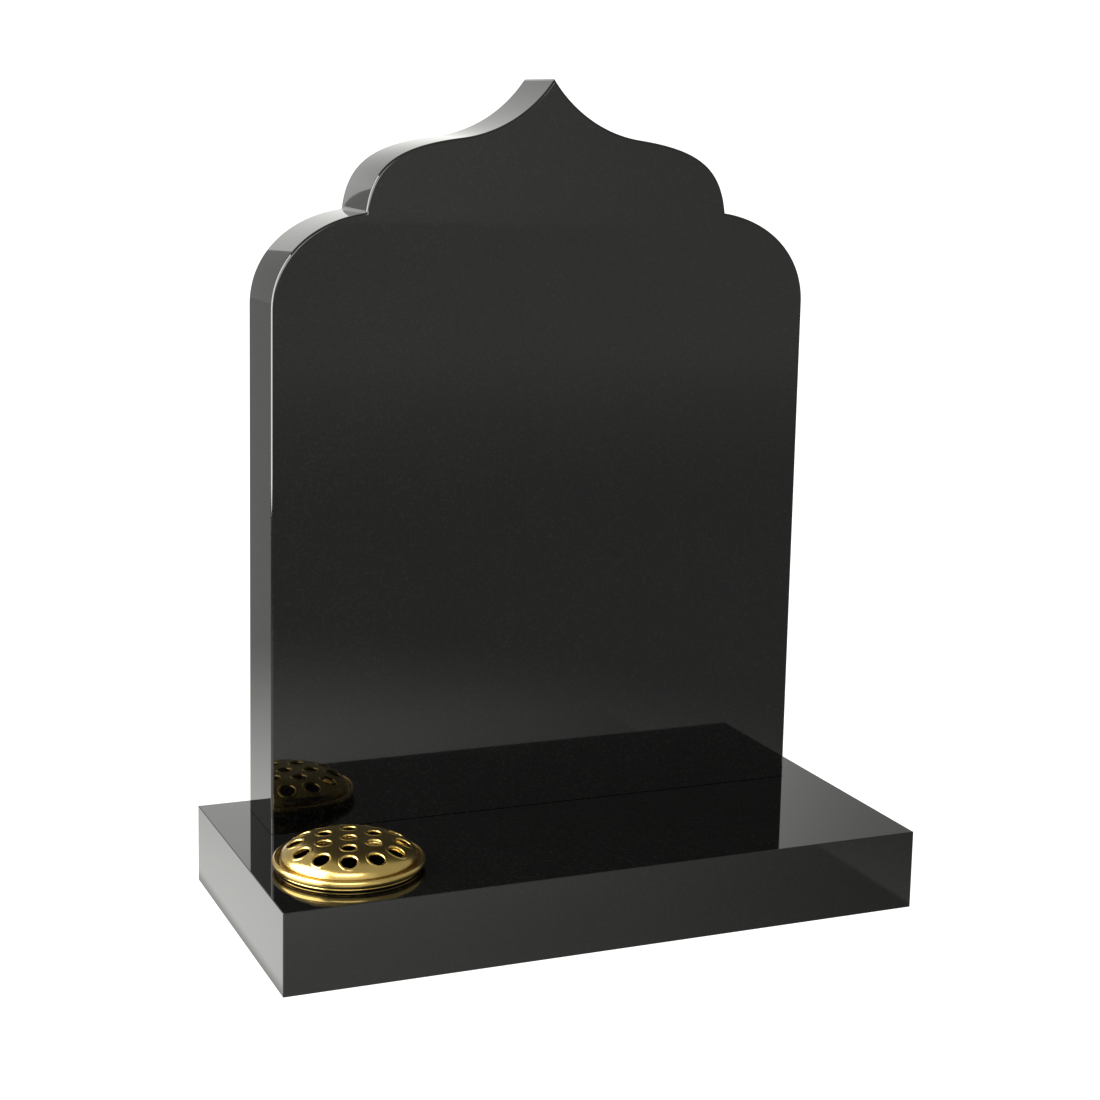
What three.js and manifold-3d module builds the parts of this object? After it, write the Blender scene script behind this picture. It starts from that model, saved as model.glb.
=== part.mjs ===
// A lawn headstone of polished black granite: an ogee-topped stone upright on its base, and a flower container
// with a domed, pierced lid let into the base at the left.
// Millimetres, +Z up, the front towards -Y. The origin is the middle of the base's underside.
import * as THREE from "three";
import { mergeVertices } from "three/addons/utils/BufferGeometryUtils.js";
import Module from "manifold-3d";

// Base slab
const BASE_WIDTH = 610;
const BASE_DEPTH = 294;
const BASE_HEIGHT = 74;
const BASE_ARRIS = 1;

// Headstone
const STONE_WIDTH = 533;
const STONE_HEIGHT = 688;
const STONE_THICKNESS = 76;
const STONE_ARRIS = 2.5;
const STONE_SETBACK = 191; // from the front of the base to the front face
const STONE_OFFSET = 4.7; // the stone stands this much to the right of the middle of the base
const BED_GAP = 0.3; // between a piece and what it stands on

// Ogee top, from the side inwards: a round shoulder, a notch, a round lobe, then a hollow sweep up to a sharp ridge
const SHOULDER_RUN = 87;
const SHOULDER_RISE = 86.5;
const SHOULDER_SLOPE = 8; // degrees below level where the shoulder starts at the notch
const LOBE_RUN = 91;
const LOBE_RISE = 67.5;
const LOBE_SLOPE = 7.5; // degrees below level where the sweep turns into the lobe
const RIDGE_SLOPE = 55.5; // degrees below level where the sweep meets the ridge
const CURVE_STEPS = 12;

// Flower container, a spun pot that hangs by its flange in a bore through the base
const CONTAINER_FROM_LEFT = 85; // from the left end of the base to the axis
const CONTAINER_FROM_FRONT = 88.5;
const CONTAINER_DIAMETER = 108;
const CONTAINER_DEPTH = 64;
const CONTAINER_WALL = 1.2;
const CONTAINER_CORNER = 6;
const BORE_CLEARANCE = 3; // between the pot and its bore, all round
const FLANGE_DIAMETER = 128;
const FLANGE_THICKNESS = 2.5;
const RIM_HEIGHT = 3; // the upstand on the flange that keeps the lid in place
const RIM_CLEARANCE = 0.6;

// Lid, pressed from sheet: a rolled bead, a groove, and a low dome pierced for stems
const LID_DIAMETER = 135;
const LID_HEIGHT = 23.9;
const LID_SHEET = 1.2;
const BEAD_WIDTH = 3.6;
const BEAD_HEIGHT = 5.4;
const GROOVE_WIDTH = 1.3;
const GROOVE_DEPTH = 1.1;
const CROWN_SAG = 8.2; // how far the dome falls away from its middle before its shoulder
const CROWN_POWER = 24; // how tightly the shoulder turns down
const CROWN_STEPS = 13;
const STEM_HOLE = 14; // diameter in the outer ring
const MIDDLE_HOLE = 12.5; // diameter in the inner ring and at the centre
const INNER_RING = 25.2; // radius of the circle of hole centres
const OUTER_RING = 47.2;
const INNER_COUNT = 6;
const OUTER_COUNT = 12;
const LID_TURN = 12.5; // degrees from the X axis to the first hole
const ROUND_STEPS = 48;
const HOLE_STEPS = 16;

const wasm = await Module();
wasm.setup();

// Manifold needs shared vertices, so only the positions are kept and merged.
function toManifold(geometry) {
  const bare = geometry.clone();
  bare.deleteAttribute("normal");
  bare.deleteAttribute("uv");
  const merged = mergeVertices(bare, 1e-4);
  const mesh = new wasm.Mesh({
    numProp: 3,
    vertProperties: new Float32Array(merged.attributes.position.array),
    triVerts: new Uint32Array(merged.index.array),
  });
  return new wasm.Manifold(mesh);
}

function toGeometry(manifold) {
  const mesh = manifold.getMesh();
  const geometry = new THREE.BufferGeometry();
  geometry.setAttribute("position", new THREE.BufferAttribute(mesh.vertProperties, 3));
  geometry.setIndex(new THREE.BufferAttribute(mesh.triVerts, 1));
  geometry.computeVertexNormals();
  return geometry;
}

// An outline extruded to its full thickness, with a flat arris along every edge.
function slab(shape, thickness, arris) {
  return new THREE.ExtrudeGeometry(shape, {
    depth: thickness - 2 * arris,
    bevelEnabled: true,
    bevelThickness: arris,
    bevelSize: arris,
    bevelOffset: -arris,
    bevelSegments: 1,
  }).translate(0, 0, arris);
}

// A body turned about Z from a profile of [radius, height] points that starts and ends on the axis.
function turned(profile) {
  const points = profile.map(([radius, height]) => new THREE.Vector2(radius, height));
  return new THREE.LatheGeometry(points, ROUND_STEPS).rotateX(Math.PI / 2);
}

const radians = THREE.MathUtils.degToRad;

// Right half of the stone's outline, from the bottom corner up to the ridge, x from its own middle and z from its foot.
function halfOutline() {
  const side = STONE_WIDTH / 2;
  const sweepRun = side - SHOULDER_RUN - LOBE_RUN;
  const sweepRise = sweepRun * Math.tan(radians((LOBE_SLOPE + RIDGE_SLOPE) / 2)); // the chord of an arc
  const notch = new THREE.Vector2(side - SHOULDER_RUN, STONE_HEIGHT - sweepRise - LOBE_RISE);
  const spring = new THREE.Vector2(side, notch.y - SHOULDER_RISE);
  const shoulderTurn = radians(SHOULDER_SLOPE);
  const shoulder = new THREE.CubicBezierCurve(
    spring,
    new THREE.Vector2(side, spring.y + 0.52 * SHOULDER_RISE),
    new THREE.Vector2(
      notch.x + 0.6 * SHOULDER_RUN * Math.cos(shoulderTurn),
      notch.y - 0.6 * SHOULDER_RUN * Math.sin(shoulderTurn),
    ),
    notch,
  );
  const crest = new THREE.Vector2(sweepRun, notch.y + LOBE_RISE);
  const lobeTurn = radians(LOBE_SLOPE);
  const lobe = new THREE.CubicBezierCurve(
    notch,
    new THREE.Vector2(notch.x - 0.056 * LOBE_RUN, notch.y + 0.62 * LOBE_RISE),
    new THREE.Vector2(
      crest.x + 0.7 * LOBE_RUN * Math.cos(lobeTurn),
      crest.y - 0.7 * LOBE_RUN * Math.sin(lobeTurn),
    ),
    crest,
  );
  // The sweep is the arc that leaves the lobe without a kink and ends at the ridge.
  const ridge = new THREE.Vector2(0, STONE_HEIGHT);
  const normal = new THREE.Vector2(Math.sin(lobeTurn), Math.cos(lobeTurn));
  const across = ridge.clone().sub(crest);
  const radius = across.lengthSq() / (2 * across.dot(normal));
  const centre = crest.clone().addScaledVector(normal, radius);
  const from = Math.atan2(crest.y - centre.y, crest.x - centre.x);
  const to = Math.atan2(ridge.y - centre.y, ridge.x - centre.x);
  const points = [new THREE.Vector2(side, 0), ...shoulder.getPoints(CURVE_STEPS)];
  points.push(...lobe.getPoints(CURVE_STEPS).slice(1));
  for (let i = 1; i < CURVE_STEPS; i++) {
    const sweep = (((to - from + 3 * Math.PI) % (2 * Math.PI)) - Math.PI) * (i / CURVE_STEPS);
    points.push(
      new THREE.Vector2(
        centre.x + radius * Math.cos(from + sweep),
        centre.y + radius * Math.sin(from + sweep),
      ),
    );
  }
  return { points, ridge };
}

function headstone() {
  const { points, ridge } = halfOutline();
  const left = points.map((p) => new THREE.Vector2(-p.x, p.y)).reverse();
  const shape = new THREE.Shape([...points, ridge, ...left]);
  return slab(shape, STONE_THICKNESS, STONE_ARRIS).rotateX(Math.PI / 2).translate(0, STONE_THICKNESS, 0);
}

// Plan of the base: a rectangle with its corners taken off by the arris, and the bore for the container.
function base() {
  const x = BASE_WIDTH / 2;
  const y = BASE_DEPTH / 2;
  const shape = new THREE.Shape();
  shape.moveTo(x, BASE_ARRIS - y);
  shape.lineTo(x, y - BASE_ARRIS);
  shape.lineTo(x - BASE_ARRIS, y);
  shape.lineTo(BASE_ARRIS - x, y);
  shape.lineTo(-x, y - BASE_ARRIS);
  shape.lineTo(-x, BASE_ARRIS - y);
  shape.lineTo(BASE_ARRIS - x, -y);
  shape.lineTo(x - BASE_ARRIS, -y);
  const bore = [];
  const radius = CONTAINER_DIAMETER / 2 + BORE_CLEARANCE;
  for (let i = 0; i < ROUND_STEPS; i++) {
    const angle = (2 * Math.PI * i) / ROUND_STEPS;
    bore.push(
      new THREE.Vector2(
        CONTAINER_FROM_LEFT - x + radius * Math.cos(angle),
        CONTAINER_FROM_FRONT - y + radius * Math.sin(angle),
      ),
    );
  }
  shape.holes.push(new THREE.Path(bore));
  return slab(shape, BASE_HEIGHT, BASE_ARRIS);
}

const lidWall = LID_DIAMETER / 2 - BEAD_WIDTH - GROOVE_WIDTH; // outer radius of the dome where it meets the groove
const rimRadius = lidWall - LID_SHEET - RIM_CLEARANCE;

// Heights of the container and the lid are from the top of the base.
function container() {
  const outer = CONTAINER_DIAMETER / 2;
  const inner = outer - CONTAINER_WALL;
  const flangeTop = BED_GAP + FLANGE_THICKNESS;
  const floor = -CONTAINER_DEPTH;
  return turned([
    [0, floor],
    [outer - CONTAINER_CORNER, floor],
    [outer, floor + CONTAINER_CORNER],
    [outer, BED_GAP],
    [FLANGE_DIAMETER / 2 - 0.3 * FLANGE_THICKNESS, BED_GAP],
    [FLANGE_DIAMETER / 2, BED_GAP + 0.5 * FLANGE_THICKNESS],
    [FLANGE_DIAMETER / 2 - 0.3 * FLANGE_THICKNESS, flangeTop],
    [rimRadius, flangeTop],
    [rimRadius, flangeTop + RIM_HEIGHT],
    [rimRadius - CONTAINER_WALL, flangeTop + RIM_HEIGHT],
    [rimRadius - CONTAINER_WALL, flangeTop - CONTAINER_WALL],
    [inner, flangeTop - CONTAINER_WALL],
    [inner, floor + CONTAINER_CORNER],
    [inner + CONTAINER_WALL - CONTAINER_CORNER, floor + CONTAINER_WALL],
    [0, floor + CONTAINER_WALL],
  ]);
}

function lidBlank() {
  const seat = 2 * BED_GAP + FLANGE_THICKNESS;
  const top = seat + LID_HEIGHT;
  const grooveFloor = seat + BEAD_HEIGHT - GROOVE_DEPTH;
  const drop = top - CROWN_SAG - grooveFloor;
  const crown = (share) => top - CROWN_SAG * share ** 2 - drop * share ** CROWN_POWER;
  const outside = [];
  const inside = [];
  for (let i = 0; i <= CROWN_STEPS; i++) {
    const share = Math.sin((Math.PI / 2) * (i / CROWN_STEPS)) ** 0.8;
    outside.push([share * lidWall, crown(share)]);
    inside.push([share * (lidWall - LID_SHEET), crown(share) - LID_SHEET]);
  }
  const bead = [];
  for (let degrees = 150; degrees >= -90; degrees -= 40) {
    bead.push([
      LID_DIAMETER / 2 - (BEAD_WIDTH / 2) * (1 - Math.cos(radians(degrees))),
      seat + (BEAD_HEIGHT / 2) * (1 + Math.sin(radians(degrees))),
    ]);
  }
  const profile = [...outside, ...bead, [lidWall - LID_SHEET, seat], ...inside.reverse()];
  return turned(profile.reverse());
}

function stemHole(diameter) {
  const clear = LID_HEIGHT;
  return new THREE.CylinderGeometry(diameter / 2, diameter / 2, 2 * clear, HOLE_STEPS)
    .rotateX(Math.PI / 2)
    .translate(0, 0, LID_HEIGHT);
}

function lid() {
  let solid = toManifold(lidBlank());
  const rings = [
    { count: 1, radius: 0, diameter: MIDDLE_HOLE },
    { count: INNER_COUNT, radius: INNER_RING, diameter: MIDDLE_HOLE },
    { count: OUTER_COUNT, radius: OUTER_RING, diameter: STEM_HOLE },
  ];
  for (const { count, radius, diameter } of rings) {
    for (let i = 0; i < count; i++) {
      const angle = radians(LID_TURN) + (2 * Math.PI * i) / count;
      const hole = stemHole(diameter).translate(radius * Math.cos(angle), radius * Math.sin(angle), 0);
      solid = solid.subtract(toManifold(hole));
    }
  }
  return toGeometry(solid);
}

const granite = () => new THREE.MeshStandardMaterial({ color: 0x181817, roughness: 0.06, metalness: 0 });
const gold = () => new THREE.MeshStandardMaterial({ color: 0xc2a15c, roughness: 0.3, metalness: 1 });

const headstoneGroup = new THREE.Group();

const baseMesh = new THREE.Mesh(base(), granite());
baseMesh.name = "base";
headstoneGroup.add(baseMesh);

const stoneMesh = new THREE.Mesh(headstone(), granite());
stoneMesh.name = "headstone";
stoneMesh.position.set(STONE_OFFSET, STONE_SETBACK - BASE_DEPTH / 2, BASE_HEIGHT + BED_GAP);
headstoneGroup.add(stoneMesh);

const vase = new THREE.Group();
vase.position.set(CONTAINER_FROM_LEFT - BASE_WIDTH / 2, CONTAINER_FROM_FRONT - BASE_DEPTH / 2, BASE_HEIGHT);
const containerMesh = new THREE.Mesh(container(), gold());
containerMesh.name = "flower_container";
const lidMesh = new THREE.Mesh(lid(), gold());
lidMesh.name = "container_lid";
vase.add(containerMesh, lidMesh);
headstoneGroup.add(vase);

export default headstoneGroup;
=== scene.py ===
# %% [markdown]
# # A lawn headstone of black granite
#
# The object is a headstone of polished black granite: an upright stone with an ogee top, standing on a flat
# base. A flower container is let into the base at the left, and its pierced lid of gold aluminium lies on
# top. The lesson builds four pieces, each in place of a plainer solid that is already in the frame.

# %% Load the frame
import math

import bmesh
import bpy
from mathutils import Matrix, Vector


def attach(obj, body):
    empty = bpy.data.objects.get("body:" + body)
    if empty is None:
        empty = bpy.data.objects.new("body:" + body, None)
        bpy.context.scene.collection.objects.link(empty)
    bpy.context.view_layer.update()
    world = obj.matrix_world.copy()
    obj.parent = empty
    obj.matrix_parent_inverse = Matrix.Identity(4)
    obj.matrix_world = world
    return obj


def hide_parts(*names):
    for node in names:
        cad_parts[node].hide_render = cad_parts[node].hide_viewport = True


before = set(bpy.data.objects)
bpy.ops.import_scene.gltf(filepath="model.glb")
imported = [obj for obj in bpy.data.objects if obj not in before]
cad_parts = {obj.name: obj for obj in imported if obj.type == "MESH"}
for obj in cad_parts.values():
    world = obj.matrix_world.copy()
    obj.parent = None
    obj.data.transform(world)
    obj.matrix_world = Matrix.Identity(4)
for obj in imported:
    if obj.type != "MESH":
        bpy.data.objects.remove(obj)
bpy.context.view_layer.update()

# %% [markdown]
# ## Sizes
#
# A stone mason works from a drawing in millimetres, and so does this script. Blender's unit is the metre,
# so each mesh is drawn in millimetres and scaled once when it is finished. The base lies with its middle at
# the origin, X to the right, and the front faces -Y.

# %% The mason's drawing
MM = 0.001

BASE = Vector((610, 294, 74))
STONE_WIDTH = 533
STONE_HEIGHT = 688
STONE_THICKNESS = 76
STONE_PLACE = Vector((4.7, 44, 74.3))  # middle of the stone's foot at its front face
BORE_PLACE = Vector((-220, -58.5, 74))  # axis of the bore where it meets the top of the base
BORE_RADIUS = 57
print("base", tuple(BASE), "stone", STONE_WIDTH, STONE_HEIGHT, STONE_THICKNESS)

# %% [markdown]
# ## The camera
#
# The photograph was taken from the front and a little to the left, from slightly above.
# The corners of the base and the outline of the stone fix the place, the turn and the lens.
# The picture was cropped so that the lens points above its middle, which a small downward shift repeats.

# %% Camera
LENS_LENGTH, SENSOR_WIDTH, LENS_SHIFT = 69.79, 36, -0.08
CAMERA_PLACE = (-0.7675, -1.7746, 0.7327)
CAMERA_TURN, CAMERA_DIP, CAMERA_ROLL = -0.4029, 0.1628, 0.0214
camera_data = bpy.data.cameras.new("camera")
camera_data.lens = LENS_LENGTH
camera_data.sensor_width = SENSOR_WIDTH
camera_data.shift_y = LENS_SHIFT
camera = bpy.data.objects.new("camera", camera_data)
camera.matrix_world = (
    Matrix.Translation(CAMERA_PLACE)
    @ Matrix.Rotation(CAMERA_TURN, 4, "Z")
    @ Matrix.Rotation(math.pi / 2 - CAMERA_DIP, 4, "X")
    @ Matrix.Rotation(CAMERA_ROLL, 4, "Z")
)
bpy.context.collection.objects.link(camera)
bpy.context.scene.camera = camera
print("camera", [round(v, 3) for v in camera.location], "lens", camera_data.lens)

# %% [markdown]
# ## Nodes
#
# Materials and Geometry Nodes are both trees of nodes. One small function adds a node of any kind, sets its
# properties, and gives each input either a value or a link from another node's output. Colours are written
# as on a paint card, in sRGB hex, and turned to the linear values that the renderer mixes.

# %% Helpers for nodes and colours
def add(tree, kind, inputs=None, **settings):
    new = tree.nodes.new(kind)
    for name, value in settings.items():
        setattr(new, name, value)
    for name, value in (inputs or {}).items():
        if isinstance(value, bpy.types.NodeSocket):
            tree.links.new(value, new.inputs[name])
        else:
            new.inputs[name].default_value = value
    return new


def paint(code):
    channels = [int(code[i : i + 2], 16) / 255 for i in (1, 3, 5)]
    return tuple(c / 12.92 if c <= 0.04045 else ((c + 0.055) / 1.055) ** 2.4 for c in channels) + (1.0,)


def ramp(tree, value, start, end, first, last):
    """A smooth change from first to last while the value goes from start to end."""
    levels = {"Value": value, "From Min": start, "From Max": end, "To Min": first, "To Max": last}
    return add(tree, "ShaderNodeMapRange", levels, interpolation_type="SMOOTHSTEP").outputs["Result"]


def product(tree, first, second):
    return add(tree, "ShaderNodeMath", {0: first, 1: second}, operation="MULTIPLY").outputs[0]


def vector_math(tree, operation, *values):
    return add(tree, "ShaderNodeVectorMath", dict(enumerate(values)), operation=operation).outputs


print("mid grey is", round(paint("#808080")[0], 4))

# %% [markdown]
# ## The studio
#
# Polished black stone shows almost nothing of its own: what is seen in it is the studio. So every tone on
# the granite was read from the photograph, and the mirror direction there says where in the studio it comes
# from:
#
# - a pale panel stands close behind, and its left edge is the sharp line across the shoulder and the lobe,
# - a pool of light lies on the floor at the left and fades away to the right,
# - a large soft box at the left draws the bright line down the arris,
# - another, above the camera, draws the highlights on the gold lid,
# - all round is a pale grey sky, brighter in front.
#
# The floor and the panel are cards that only mirrors see. They shine by themselves, which keeps them free
# of noise. A seamless cove, which only the camera sees, gives the plain white ground of a catalogue picture
# from any side.

# %% Sky
LIGHT_COLOUR = (1.0, 1.0, 0.97, 1.0)
SKY_LEVEL, FRONT_LEVEL = 0.5, 0.95
GLOW_ANGLES = (50, 15)  # degrees off the front: where the glow begins, and where it is full
world = bpy.data.worlds.new("studio_sky")
world.use_nodes = True
bpy.context.scene.world = world
sky = world.node_tree
sky.nodes.clear()
direction = add(sky, "ShaderNodeTexCoord").outputs["Generated"]
front = Vector((-0.2, -1.0, 0.0)).normalized()
toward = vector_math(sky, "DOT_PRODUCT", direction, front)["Value"]
rim, core = (math.cos(math.radians(angle)) for angle in GLOW_ANGLES)
glow = ramp(sky, toward, rim, core, SKY_LEVEL, FRONT_LEVEL)
light = add(sky, "ShaderNodeBackground", {"Color": LIGHT_COLOUR, "Strength": glow})
add(sky, "ShaderNodeOutputWorld", {"Surface": light.outputs["Background"]})
print("the sky is brightest towards", [round(v, 2) for v in front])


# %% Lights
def soft_box(name, place, target, size, radiance):
    data = bpy.data.lights.new(name, "AREA")
    data.shape = "RECTANGLE"
    data.size, data.size_y = size
    data.energy = radiance * math.pi * size[0] * size[1]
    data.color = LIGHT_COLOUR[:3]
    lamp = bpy.data.objects.new(name, data)
    lamp.location = place
    lamp.rotation_euler = (Vector(target) - Vector(place)).to_track_quat("-Z", "Y").to_euler()
    lamp.visible_camera = False
    bpy.context.collection.objects.link(lamp)
    print(name, "at", place, "gives", round(data.energy, 1), "W")


soft_box("front_box", (-0.9, -1.9, 1.25), (-0.2, 0.0, 0.1), (1.8, 0.9), 6.0)
soft_box("left_box", (-1.7, 0.0, 1.1), (-0.2, 0.0, 1.1), (2.0, 2.0), 14.0)


# %% Floor, panel and cove
def shining(name, strength):
    """A finish that shines by itself. The strength is a number, or a function that adds nodes for it."""
    material = bpy.data.materials.new(name)
    material.use_nodes = True
    tree = material.node_tree
    tree.nodes.clear()
    amount = strength(tree) if callable(strength) else strength
    shine = add(tree, "ShaderNodeEmission", {"Color": LIGHT_COLOUR, "Strength": amount})
    add(tree, "ShaderNodeOutputMaterial", {"Surface": shine.outputs["Emission"]})
    return material


POOL_CENTRE, POOL_REACH, POOL_LEVEL, FLOOR_LEVEL = (-0.52, -0.08, 0.0), 1.15, 1.82, 0.4
GLOW_START, GLOW_END, GLOW_LEVEL = -1.5, -4.5, 0.28
SHADE_REACH, SHADE_LEVEL, SHADE_COUNT = 0.1, 0.55, (10, 0.25, 0)


def pool_of_light(tree):
    place = add(tree, "ShaderNodeTexCoord").outputs["Object"]
    away = vector_math(tree, "DISTANCE", place, POOL_CENTRE)["Value"]
    pool = ramp(tree, away, 0.0, POOL_REACH, POOL_LEVEL, FLOOR_LEVEL)
    forward = add(tree, "ShaderNodeSeparateXYZ", {"Vector": place}).outputs["Y"]
    far_glow = ramp(tree, forward, GLOW_START, GLOW_END, 0.0, GLOW_LEVEL)
    lit = add(tree, "ShaderNodeMath", {0: pool, 1: far_glow}, operation="ADD").outputs[0]
    # The base shades the floor close to it. The distance from its outline is counted ten times at its ends
    # and only a quarter in front, so the shade is narrow at the ends and wide in front.
    folded = vector_math(tree, "ABSOLUTE", place)["Vector"]
    half_base = (0.5 * MM * BASE.x, 0.5 * MM * BASE.y, 0.0)
    outside = vector_math(tree, "SUBTRACT", folded, half_base)["Vector"]
    gap = vector_math(tree, "MAXIMUM", outside, (0, 0, 0))["Vector"]
    counted = vector_math(tree, "MULTIPLY", gap, SHADE_COUNT)["Vector"]
    distance = vector_math(tree, "LENGTH", counted)["Value"]
    return product(tree, lit, ramp(tree, distance, 0.0, SHADE_REACH, SHADE_LEVEL, 1.0))


# Each fade has a start and an end in metres, then the strength before and after it.
FADE_ACROSS, FADE_UP = (0.1, 0.75, 1.4, 0.42), (0.74, 0.84, 1.0, 0.76)


def fading_panel(tree):
    place = add(tree, "ShaderNodeTexCoord").outputs["Object"]
    along = add(tree, "ShaderNodeSeparateXYZ", {"Vector": place}).outputs
    return product(tree, ramp(tree, along["X"], *FADE_ACROSS), ramp(tree, along["Z"], *FADE_UP))


def studio_piece(name, points, faces, material, seen_by_camera):
    mesh = bpy.data.meshes.new(name)
    mesh.from_pydata(points, [], faces)
    mesh.materials.append(material)
    thing = bpy.data.objects.new(name, mesh)
    bpy.context.collection.objects.link(thing)
    thing.visible_camera = seen_by_camera
    thing.visible_glossy = not seen_by_camera
    thing.visible_diffuse = False
    thing.visible_shadow = False
    print(name, [round(d, 2) for d in thing.dimensions], "m")


def disc_and_wall(rings, steps=96):
    points = [(0, 0, rings[0][1])]
    for radius, height in rings:
        for i in range(steps):
            angle = 2 * math.pi * i / steps
            points.append((radius * math.cos(angle), radius * math.sin(angle), height))
    faces = [(0, 1 + i, 1 + (i + 1) % steps) for i in range(steps)]
    for ring in range(len(rings) - 1):
        first, second = 1 + ring * steps, 1 + (ring + 1) * steps
        for i in range(steps):
            j = (i + 1) % steps
            faces.append((first + i, second + i, second + j, first + j))
    return points, faces


COVE_RINGS, COVE_LEVEL, FLOOR_RINGS = [(6, 0), (8, 2), (8, 9)], 1.3, [(12, -0.0005)]
PANEL_LEFT, PANEL_RIGHT, PANEL_BACK, PANEL_TOP = -0.295, 1.1, 0.5, 1.3
studio_piece("white_cove", *disc_and_wall(COVE_RINGS), shining("white_paper", COVE_LEVEL), True)
studio_piece("floor_card", *disc_and_wall(FLOOR_RINGS), shining("lit_floor", pool_of_light), False)
corners = [(PANEL_LEFT, 0), (PANEL_RIGHT, 0), (PANEL_RIGHT, PANEL_TOP), (PANEL_LEFT, PANEL_TOP)]
panel = [(x, PANEL_BACK, z) for x, z in corners]
studio_piece("back_panel", panel, [(0, 1, 2, 3)], shining("pale_panel", fading_panel), False)

# %% [markdown]
# ## Black granite
#
# The mason's black granite is a fine-grained gabbro, sawn, ground and polished until it is a mirror. Its
# grains are about a millimetre across: near-black pyroxene with grey felspar between, which shows as a
# faint cloudy fleck close to. A photograph or a drawn pattern could give that; here Voronoi cells stand for
# the grains, because they are grains that grew until they met. The polish is what the eye sees first, so
# roughness stays very low, and the index is 1.5, a little under that of felspar.

# %% Granite
GRAIN, CLOUD = 1.6 * MM, 60 * MM


def granite_material():
    material = bpy.data.materials.new("polished_black_granite")
    material.use_nodes = True
    tree = material.node_tree
    tree.nodes.clear()
    place = add(tree, "ShaderNodeTexCoord").outputs["Object"]
    # Real grains are 0.5 to 1 mm; they are drawn at 1.6 mm, the smallest that shows in the picture.
    grains = add(tree, "ShaderNodeTexVoronoi", {"Vector": place, "Scale": 1 / GRAIN})
    lightness = add(tree, "ShaderNodeSeparateColor", {"Color": grains.outputs["Color"]})
    fleck = add(tree, "ShaderNodeValToRGB", {"Fac": lightness.outputs["Red"]})
    stops = fleck.color_ramp.elements
    stops[0].position, stops[0].color = 0.0, paint("#020202")
    stops[1].position, stops[1].color = 1.0, paint("#0c0c0b")
    middle = stops.new(0.72)
    middle.color = paint("#030303")
    # Clouds of slightly paler stone, some 60 mm across, as in any natural block.
    drift = {"Vector": place, "Scale": 1 / CLOUD, "Detail": 3.0, "Roughness": 0.55}
    clouds = add(tree, "ShaderNodeTexNoise", drift)
    cloud = add(
        tree,
        "ShaderNodeMapRange",
        {"Value": clouds.outputs["Fac"], "From Min": 0.3, "From Max": 0.7, "To Min": 0.8, "To Max": 1.2},
    )
    colour = add(
        tree,
        "ShaderNodeVectorMath",
        {0: fleck.outputs["Color"], "Scale": cloud.outputs["Result"]},
        operation="SCALE",
    )
    # The polish is a little softer on some grains than on others.
    polish = add(
        tree,
        "ShaderNodeMapRange",
        {"Value": lightness.outputs["Green"], "To Min": 0.02, "To Max": 0.05},
    )
    stone = add(
        tree,
        "ShaderNodeBsdfPrincipled",
        {"Base Color": colour.outputs["Vector"], "Roughness": polish.outputs["Result"], "IOR": 1.5},
    )
    add(tree, "ShaderNodeOutputMaterial", {"Surface": stone.outputs["BSDF"]})
    return material


granite = granite_material()
print("granite has", len(granite.node_tree.nodes), "nodes")

# %% [markdown]
# ## Gold aluminium
#
# The container and its lid are thin aluminium sheet, pressed and spun, then anodised gold. The dye sits in
# a clear hard film over a satin surface, so highlights are soft and keep the colour of the metal. The
# spinning leaves fine turning marks round the axis. They are drawn as rings 0.9 mm apart, several times
# coarser than the real ones, so that they can be seen at all.

# %% Anodised aluminium
MARK_SPACING, MARK_DEPTH, DYE_PATCH = 0.9 * MM, 0.02 * MM, 20 * MM
PAINTED_SHADE_BELOW, PAINTED_SHADE_WITHIN, FACING_DOWN = 1.5 * MM, 59.2 * MM, -0.2


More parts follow.
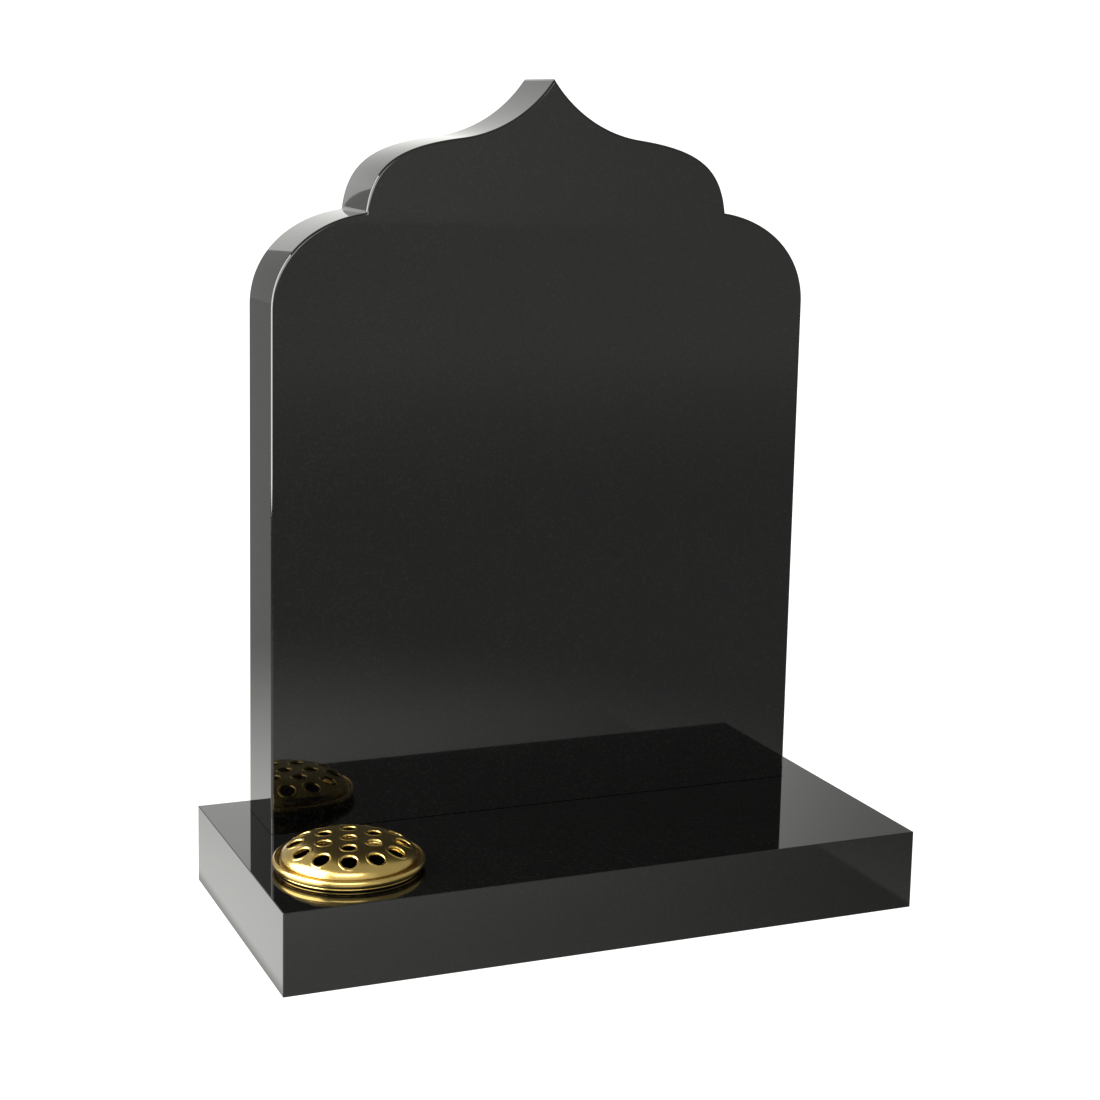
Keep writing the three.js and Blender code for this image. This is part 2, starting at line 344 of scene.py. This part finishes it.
def gold_material():
    material = bpy.data.materials.new("gold_anodised_aluminium")
    material.use_nodes = True
    tree = material.node_tree
    tree.nodes.clear()
    place = add(tree, "ShaderNodeTexCoord").outputs["Object"]
    centred = vector_math(tree, "SUBTRACT", place, MM * BORE_PLACE)["Vector"]
    # A ring wave repeats every 2 pi / 20 units, and the scale turns that into the spacing of the marks.
    marks = add(
        tree,
        "ShaderNodeTexWave",
        {"Vector": centred, "Scale": (2 * math.pi / 20) / MARK_SPACING, "Distortion": 1.5, "Detail": 1.0},
        wave_type="RINGS",
        rings_direction="Z",
    )
    dye = add(tree, "ShaderNodeTexNoise", {"Vector": place, "Scale": 1 / DYE_PATCH, "Detail": 4.0})
    tone = add(tree, "ShaderNodeValToRGB", {"Fac": dye.outputs["Fac"]})
    stops = tone.color_ramp.elements
    stops[0].position, stops[0].color = 0.3, paint("#bea25d")
    stops[1].position, stops[1].color = 0.7, paint("#c6ac68")
    # The holes look dark in the photograph, so shade is painted on the metal inside the pot and under the
    # lid: a dark colour there stands in for the shade in those hollows.
    flat = vector_math(tree, "MULTIPLY", centred, (1, 1, 0))["Vector"]
    out = vector_math(tree, "LENGTH", flat)["Value"]
    height = add(tree, "ShaderNodeSeparateXYZ", {"Vector": centred}).outputs["Z"]
    normal = add(tree, "ShaderNodeNewGeometry").outputs["True Normal"]
    facing = add(tree, "ShaderNodeSeparateXYZ", {"Vector": normal}).outputs["Z"]
    low = add(tree, "ShaderNodeMath", {0: height, 1: PAINTED_SHADE_BELOW}, operation="LESS_THAN").outputs[0]
    down = add(tree, "ShaderNodeMath", {0: facing, 1: FACING_DOWN}, operation="LESS_THAN").outputs[0]
    either = add(tree, "ShaderNodeMath", {0: low, 1: down}, operation="MAXIMUM").outputs[0]
    within = add(tree, "ShaderNodeMath", {0: out, 1: PAINTED_SHADE_WITHIN}, operation="LESS_THAN").outputs[0]
    # The dark brown mixed in here is painted shade, not a colour of the metal.
    # A mix node has inputs for every kind of value: 6 and 7 are its colours, and output 2 is their mix.
    painted_shade = {0: product(tree, either, within), 6: tone.outputs["Color"], 7: paint("#1c180f")}
    colour = add(tree, "ShaderNodeMix", painted_shade, data_type="RGBA").outputs[2]
    satin = add(
        tree,
        "ShaderNodeMapRange",
        {"Value": marks.outputs["Fac"], "To Min": 0.22, "To Max": 0.25},
    )
    rise = {"Height": marks.outputs["Fac"], "Strength": 0.08, "Distance": MARK_DEPTH}
    relief = add(tree, "ShaderNodeBump", rise)
    metal = add(
        tree,
        "ShaderNodeBsdfPrincipled",
        {
            "Base Color": colour,
            "Metallic": 1.0,
            "Roughness": satin.outputs["Result"],
            "Normal": relief.outputs["Normal"],
        },
    )
    add(tree, "ShaderNodeOutputMaterial", {"Surface": metal.outputs["BSDF"]})
    return material


gold = gold_material()
print("gold has", len(gold.node_tree.nodes), "nodes")


# %% [markdown]
# ## From a drawing to a piece
#
# Every piece is drawn in a bmesh. The same last steps hold for all of them: merge points that coincide,
# turn the faces outwards, scale to metres, and link an object that stays at the origin, with its place in
# its mesh. A piece whose modifiers have done their work is settled: the finished shape becomes a plain
# mesh.

# %% Helpers for pieces
def new_piece(name, bm, material):
    bmesh.ops.remove_doubles(bm, verts=bm.verts, dist=1e-4)
    bmesh.ops.recalc_face_normals(bm, faces=bm.faces)
    bmesh.ops.scale(bm, vec=(MM, MM, MM), verts=bm.verts)
    mesh = bpy.data.meshes.new(name)
    bm.to_mesh(mesh)
    bm.free()
    mesh.shade_smooth()
    mesh.materials.append(material)
    piece = bpy.data.objects.new(name, mesh)
    bpy.context.collection.objects.link(piece)
    return piece


def settle(piece):
    graph = bpy.context.evaluated_depsgraph_get()
    finished = bpy.data.meshes.new_from_object(piece.evaluated_get(graph), depsgraph=graph)
    piece.modifiers.clear()
    finished.name = piece.name
    piece.data = finished


def stands_for(piece, node):
    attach(piece, "root")
    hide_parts(node)
    size = [round(d / MM, 1) for d in piece.dimensions]
    print(piece.name, len(piece.data.vertices), "points,", size, "mm")


def ease(piece, width, segments, by_weight):
    bevel = piece.modifiers.new("arris", "BEVEL")
    bevel.width = width * MM
    bevel.segments = segments
    bevel.limit_method = "WEIGHT" if by_weight else "ANGLE"
    bevel.angle_limit = math.radians(50)
    bevel.use_clamp_overlap = False
    normals = piece.modifiers.new("flat_faces", "WEIGHTED_NORMAL")
    normals.mode = "FACE_AREA"
    normals.weight = 100
    normals.keep_sharp = True


# %% [markdown]
# ## The base
#
# The base is a sawn slab, polished on all sides, with its edges just taken off so that they don't chip. The
# bore for the container is core-drilled right through. A boolean does here what the core drill does there,
# and one bevel then eases every sharp edge, the rim of the bore included.

# %% Base
BASE_ARRIS = 1.0
bm = bmesh.new()
bmesh.ops.create_cube(bm, size=1, matrix=Matrix.Translation((0, 0, BASE.z / 2)) @ Matrix.Diagonal((*BASE, 1)))
base = new_piece("granite_base", bm, granite)
bm = bmesh.new()
bmesh.ops.create_cone(
    bm,
    cap_ends=True,
    segments=128,
    radius1=BORE_RADIUS,
    radius2=BORE_RADIUS,
    depth=3 * BASE.z,
    matrix=Matrix.Translation(BORE_PLACE),
)
drill = new_piece("core_drill", bm, granite)
bore = base.modifiers.new("bore", "BOOLEAN")
bore.object = drill
bore.operation = "DIFFERENCE"
bore.solver = "EXACT"
settle(base)
bpy.data.objects.remove(drill)
ease(base, BASE_ARRIS, 3, by_weight=False)
stands_for(base, "base")

# %% [markdown]
# ## The upright stone
#
# Seen from the front, the top is an ogee: from each side a round shoulder rises to a notch, a fuller lobe
# stands above it, and from the lobe a hollow sweep runs up to a ridge in the middle. The stone is a flat
# slab, so the whole shape lies in this outline. It could be traced as a curve object, but a formula keeps
# the two halves alike and every run and rise a number from the drawing.

# %% Outline of the ogee
SHOULDER_RUN, SHOULDER_RISE, SHOULDER_SLOPE = 87, 86.5, math.radians(8)
LOBE_RUN, LOBE_RISE, LOBE_SLOPE = 91, 67.5, math.radians(7.5)
RIDGE_SLOPE = math.radians(55.5)
CURVE_STEPS = 44
# A pull says how far along its tangent a curve's control point lies, as a share of the rise or the run.
SHOULDER_PULLS, LOBE_PULLS, LOBE_LEAN = (0.52, 0.6), (0.62, 0.7), -0.056


def bezier(a, b, c, d):
    points = []
    for i in range(CURVE_STEPS + 1):
        t = i / CURVE_STEPS
        points.append((1 - t) ** 3 * a + 3 * t * (1 - t) ** 2 * b + 3 * t * t * (1 - t) * c + t**3 * d)
    return points


def downhill(slope):
    return Vector((math.cos(slope), -math.sin(slope)))


def half_outline():
    side = STONE_WIDTH / 2
    run = side - SHOULDER_RUN - LOBE_RUN
    rise = run * math.tan((LOBE_SLOPE + RIDGE_SLOPE) / 2)
    notch = Vector((side - SHOULDER_RUN, STONE_HEIGHT - rise - LOBE_RISE))
    spring = Vector((side, notch.y - SHOULDER_RISE))
    shoulder = bezier(
        spring,
        Vector((side, spring.y + SHOULDER_PULLS[0] * SHOULDER_RISE)),
        notch + SHOULDER_PULLS[1] * SHOULDER_RUN * downhill(SHOULDER_SLOPE),
        notch,
    )
    crest = Vector((run, notch.y + LOBE_RISE))
    lobe = bezier(
        notch,
        notch + Vector((LOBE_LEAN * LOBE_RUN, LOBE_PULLS[0] * LOBE_RISE)),
        crest + LOBE_PULLS[1] * LOBE_RUN * downhill(LOBE_SLOPE),
        crest,
    )
    ridge = Vector((0, STONE_HEIGHT))
    normal = Vector((math.sin(LOBE_SLOPE), math.cos(LOBE_SLOPE)))
    across = ridge - crest
    radius = across.length_squared / (2 * across.dot(normal))
    centre = crest + radius * normal
    start = math.atan2(crest.y - centre.y, crest.x - centre.x)
    turn = LOBE_SLOPE - RIDGE_SLOPE
    angles = [start + turn * i / CURVE_STEPS for i in range(1, CURVE_STEPS)]
    sweep = [centre + radius * Vector((math.cos(a), math.sin(a))) for a in angles]
    print("notch", [round(v, 1) for v in notch], "crest", [round(v, 1) for v in crest])
    print("sweep radius", round(radius, 1))
    return [Vector((side, 0))] + shoulder + lobe[1:] + sweep, ridge


half, ridge = half_outline()
outline = half + [ridge] + [Vector((-p.x, p.y)) for p in reversed(half)]
print(len(outline), "points round the stone")

# %% Headstone
ARRIS, FOOT_ARRIS = 2.5, 0.1
bm = bmesh.new()
front = [bm.verts.new((STONE_PLACE.x + p.x, STONE_PLACE.y, STONE_PLACE.z + p.y)) for p in outline]
face = bm.faces.new(front)
pushed = bmesh.ops.extrude_face_region(bm, geom=[face])
bmesh.ops.translate(
    bm, vec=(0, STONE_THICKNESS, 0), verts=[v for v in pushed["geom"] if isinstance(v, bmesh.types.BMVert)]
)
weight = bm.edges.layers.float.new("bevel_weight_edge")
for edge in bm.edges:
    first, second = edge.verts
    along = abs(first.co.y - second.co.y) < 1e-6
    at_foot = max(first.co.z, second.co.z) < STONE_PLACE.z + 1e-6
    edge[weight] = FOOT_ARRIS / ARRIS if at_foot else float(along)
headstone = new_piece("granite_headstone", bm, granite)
ease(headstone, ARRIS, 4, by_weight=True)
stands_for(headstone, "headstone")

# %% [markdown]
# ## Turned pieces
#
# The pot and the lid are spun on a lathe, so each is drawn as a profile of radius and height and turned
# about its axis. Blender's Screw modifier or the Spin tool does this too; writing the rings directly keeps
# the points in order and closes the pole with a single point.


# %% Helper for turning
def turned(bm, profile, steps, closed=False):
    rings = []
    for radius, height in profile:
        if radius < 1e-9:
            rings.append([bm.verts.new((0, 0, height))] * steps)
        else:
            angles = [2 * math.pi * i / steps for i in range(steps)]
            rings.append([bm.verts.new((radius * math.cos(a), radius * math.sin(a), height)) for a in angles])
    pairs = list(zip(rings, rings[1:])) + ([(rings[-1], rings[0])] if closed else [])
    for low, high in pairs:
        for i in range(steps):
            j = (i + 1) % steps
            corners = list(dict.fromkeys([low[i], low[j], high[j], high[i]]))
            bm.faces.new(corners)


def arc(centre, radii, start, end, steps):
    points = []
    for i in range(steps + 1):
        angle = math.radians(start + (end - start) * i / steps)
        points.append((centre[0] + radii[0] * math.cos(angle), centre[1] + radii[1] * math.sin(angle)))
    return points


# %% [markdown]
# ## The flower container
#
# The pot hangs in the bore by its flange. It is spun from one disc of sheet, so every corner is a radius.
# The wall is 1.2 mm, and about twice that in the flange, where the sheet is folded back on itself. A low
# upstand on the flange keeps the lid from sliding.

# %% Flower container
LID_SEAT = 3.1
WALL = 1.2
POT_RADIUS, POT_DEPTH, CORNER = 54, 64, 6
pot_outside = [(0, -POT_DEPTH)]
pot_outside += arc((POT_RADIUS - CORNER, CORNER - POT_DEPTH), (CORNER, CORNER), -90, 0, 8)
pot_outside += [(POT_RADIUS, -0.7)] + arc((POT_RADIUS + 1, -0.7), (1, 1), 180, 90, 4)
flange = [(62.7, 0.3)] + arc((62.75, 1.55), (1.25, 1.25), -90, 90, 8) + [(61.4, 2.8)]
upstand = [(60.8, 3.2)] + arc((60.2, 5.2), (0.6, 0.6), 0, 180, 6) + [(59.6, 2.6)]
pot_inside = [(59.0, 1.6), (53.8, 1.6)] + arc((53.8, 0.6), (1, 1), 90, 180, 4)
pot_inside += arc((47.4, -57.4), (5.4, 5.4), 0, -90, 8) + [(0, WALL - POT_DEPTH)]
bm = bmesh.new()
turned(bm, pot_outside + flange + upstand + pot_inside, 144)
bmesh.ops.translate(bm, vec=BORE_PLACE, verts=bm.verts)
container = new_piece("spun_container", bm, gold)
container.data.set_sharp_from_angle(angle=math.radians(50))
stands_for(container, "flower_container")

# %% [markdown]
# ## The lid
#
# The lid is pressed from a disc: a dome whose shoulder turns down into a groove, and outside it a rolled
# bead that rests on the flange. The dome follows one formula with two falls: one grows with the fourth
# power of the radius, which keeps the middle nearly flat, and a very high power turns the shoulder down
# late and quickly.

# %% Lid blank
LID_RADIUS, BEAD_WIDTH, BEAD_HEIGHT, DOME_RADIUS = 67.5, 4.5, 7.0, 60.6
DOME_RINGS = 60
DOME_TOP, DOME_SWELL, GROOVE_FLOOR = 26.7, 13.2, 7.4
LID_FOOT = 61.4  # the inner edge of the foot, just outside the upstand of the pot
DOME_SHOULDER = DOME_TOP - DOME_SWELL - GROOVE_FLOOR
SWELL_POWER, SHOULDER_POWER = 4.0, 60.0


def dome(share):
    return DOME_TOP - DOME_SWELL * share**SWELL_POWER - DOME_SHOULDER * share**SHOULDER_POWER


# The rings lie closer together towards the shoulder, where the dome bends most.
shares = [math.sin(math.pi / 2 * i / DOME_RINGS) ** 0.8 for i in range(DOME_RINGS + 1)]
outside = [(s * DOME_RADIUS, dome(s)) for s in shares]
inside = [(s * (DOME_RADIUS - WALL), dome(s) - WALL) for s in shares]
half_bead = (BEAD_WIDTH / 2, BEAD_HEIGHT / 2)
bead = arc((LID_RADIUS - half_bead[0], LID_SEAT + half_bead[1]), half_bead, 165, -90, 32)
bm = bmesh.new()
turned(bm, outside + bead + [(LID_FOOT, LID_SEAT), (LID_FOOT, GROOVE_FLOOR - WALL)] + inside[::-1], 192)
lid = new_piece("pierced_lid", bm, gold)
print("lid blank", len(lid.data.vertices), "points")

# %% [markdown]
# ## The stem holes
#
# Nineteen holes take the stems: one in the middle, a ring of six and a ring of twelve. Each hole is
# punched, and its edge is then drawn down into a rounded lip, which keeps the stems from being cut and
# catches the light. This is work for Geometry Nodes, since one rule places them all. Points go round a
# circle, a punch stands on each point and a boolean takes the punches out of the dome. Lips lie on the same
# points: they start flat, and the tree then presses them into the dome with the dome's own formula, as the
# press does with the sheet.


# %% One lip of each size
LIP_ROLL, LIP_STEPS = 1.5, 40


def lip(name, hole):
    """A rolled edge round a hole of that radius, its heights measured from the face of the sheet."""
    profile = arc((hole + LIP_ROLL, -0.9), (LIP_ROLL, 1.3), 0, 180, 16)
    profile += [(hole, -1.6)] + arc((hole + 0.4, -2.0), (0.35, 0.3), 180, 360, 5)
    profile += [(hole + 0.8, -1.9), (hole + 0.9, -1.7), (hole + LIP_ROLL, -1.2)]
    bm = bmesh.new()
    turned(bm, profile, LIP_STEPS, closed=True)
    return new_piece(name, bm, gold)


OUTER_HOLE, MIDDLE_HOLE = 7.0, 6.25
outer_lip = lip("lip_outer", OUTER_HOLE)
middle_lip = lip("lip_middle", MIDDLE_HOLE)
print("a lip has", len(outer_lip.data.polygons), "faces")

# %% The tree that pierces the lid
TURN, OUTER_RING, INNER_RING = 12.5, 47.2, 25.2
tree = bpy.data.node_groups.new("pierced_dome", "GeometryNodeTree")
tree.interface.new_socket("Geometry", in_out="OUTPUT", socket_type="NodeSocketGeometry")
tree.interface.new_socket("Geometry", in_out="INPUT", socket_type="NodeSocketGeometry")
sizes = {
    "Turn": math.radians(TURN),
    "Outer count": 12,
    "Outer ring": OUTER_RING * MM,
    "Outer hole": OUTER_HOLE * MM,
    "Outer lip": outer_lip,
    "Inner count": 6,
    "Inner ring": INNER_RING * MM,
    "Inner hole": MIDDLE_HOLE * MM,
    "Inner lip": middle_lip,
    "Lip overlap": LIP_ROLL * MM,
    "Dome radius": DOME_RADIUS * MM,
    "Dome top": DOME_TOP * MM,
    "Dome swell": DOME_SWELL * MM,
    "Swell power": SWELL_POWER,
    "Dome shoulder": DOME_SHOULDER * MM,
    "Shoulder power": SHOULDER_POWER,
    "Finish": gold,
}
kinds = {
    int: "NodeSocketInt",
    float: "NodeSocketFloat",
    bpy.types.Object: "NodeSocketObject",
    bpy.types.Material: "NodeSocketMaterial",
}
given = {}
for name, value in sizes.items():
    socket = tree.interface.new_socket(name, in_out="INPUT", socket_type=kinds[type(value)])
    given[name] = socket.identifier
source = add(tree, "NodeGroupInput").outputs
index = add(tree, "GeometryNodeInputIndex").outputs["Index"]
punches, lips = [], []
for count, ring, hole, shape in (
    (source["Outer count"], source["Outer ring"], source["Outer hole"], source["Outer lip"]),
    (source["Inner count"], source["Inner ring"], source["Inner hole"], source["Inner lip"]),
    (1, 0.0, source["Inner hole"], source["Inner lip"]),
):
    part = add(tree, "ShaderNodeMath", {0: index, 1: count}, operation="DIVIDE").outputs[0]
    circle = {0: part, 1: 2 * math.pi, 2: source["Turn"]}
    angle = add(tree, "ShaderNodeMath", circle, operation="MULTIPLY_ADD").outputs[0]
    out = add(tree, "ShaderNodeCombineXYZ", {"X": ring}).outputs[0]
    around = add(tree, "ShaderNodeVectorRotate", {"Vector": out, "Angle": angle}, rotation_type="Z_AXIS")
    points = add(tree, "GeometryNodePoints", {"Count": count, "Position": around.outputs[0]}).outputs[0]
    reach = add(tree, "ShaderNodeMath", {0: hole, 1: source["Lip overlap"]}).outputs[0]
    punch = add(tree, "GeometryNodeMeshCylinder", {"Vertices": LIP_STEPS, "Radius": reach, "Depth": 0.1})
    edge = add(tree, "GeometryNodeObjectInfo", {"Object": shape, "As Instance": True})
    for shapes, one in ((punches, punch.outputs["Mesh"]), (lips, edge.outputs["Geometry"])):
        placed = add(tree, "GeometryNodeInstanceOnPoints", {"Points": points, "Instance": one})
        shapes.append(placed.outputs[0])
all_punches = add(tree, "GeometryNodeJoinGeometry")
all_lips = add(tree, "GeometryNodeJoinGeometry")
for punch, edge in zip(punches, lips):
    tree.links.new(punch, all_punches.inputs[0])
    tree.links.new(edge, all_lips.inputs[0])
pierced = add(
    tree,
    "GeometryNodeMeshBoolean",
    {"Mesh 1": source["Geometry"], "Mesh 2": all_punches.outputs[0]},
    operation="DIFFERENCE",
    solver="EXACT",
)
loose = add(tree, "GeometryNodeRealizeInstances", {"Geometry": all_lips.outputs[0]}).outputs[0]
spot = add(tree, "ShaderNodeSeparateXYZ", {"Vector": add(tree, "GeometryNodeInputPosition").outputs[0]})
flat = add(tree, "ShaderNodeCombineXYZ", {"X": spot.outputs["X"], "Y": spot.outputs["Y"]})
radius = vector_math(tree, "LENGTH", flat.outputs[0])["Value"]
share = add(tree, "ShaderNodeMath", {0: radius, 1: source["Dome radius"]}, operation="DIVIDE").outputs[0]
fall = 0.0
for amount, power in (
    (source["Dome swell"], source["Swell power"]),
    (source["Dome shoulder"], source["Shoulder power"]),
):
    bend = add(tree, "ShaderNodeMath", {0: share, 1: power}, operation="POWER").outputs[0]
    fall = add(tree, "ShaderNodeMath", {0: bend, 1: amount, 2: fall}, operation="MULTIPLY_ADD").outputs[0]
height = add(tree, "ShaderNodeMath", {0: source["Dome top"], 1: fall}, operation="SUBTRACT").outputs[0]
press = add(tree, "ShaderNodeCombineXYZ", {"Z": height})
pressed = add(tree, "GeometryNodeSetPosition", {"Geometry": loose, "Offset": press.outputs[0]}).outputs[0]
whole = add(tree, "GeometryNodeJoinGeometry")
tree.links.new(pressed, whole.inputs[0])
tree.links.new(pierced.outputs["Mesh"], whole.inputs[0])
real = add(tree, "GeometryNodeRealizeInstances", {"Geometry": whole.outputs[0]}).outputs[0]
finish = add(tree, "GeometryNodeSetMaterial", {"Geometry": real, "Material": source["Finish"]}).outputs[0]
add(tree, "NodeGroupOutput", {"Geometry": finish})
print("the tree has", len(tree.nodes), "nodes")

# %% Pierce the lid
piercing = lid.modifiers.new("pierced_dome", "NODES")
piercing.node_group = tree
for name, value in sizes.items():
    piercing[given[name]] = value
settle(lid)
for used in (outer_lip, middle_lip):
    bpy.data.objects.remove(used)
lid.data.transform(Matrix.Translation(MM * BORE_PLACE))
lid.data.set_sharp_from_angle(angle=math.radians(45))
stands_for(lid, "container_lid")

# %% [markdown]
# ## The picture
#
# The view transform is plain, so that black granite stays black and white paper white.

# %% Finish
bpy.context.scene.view_settings.view_transform = "Standard"
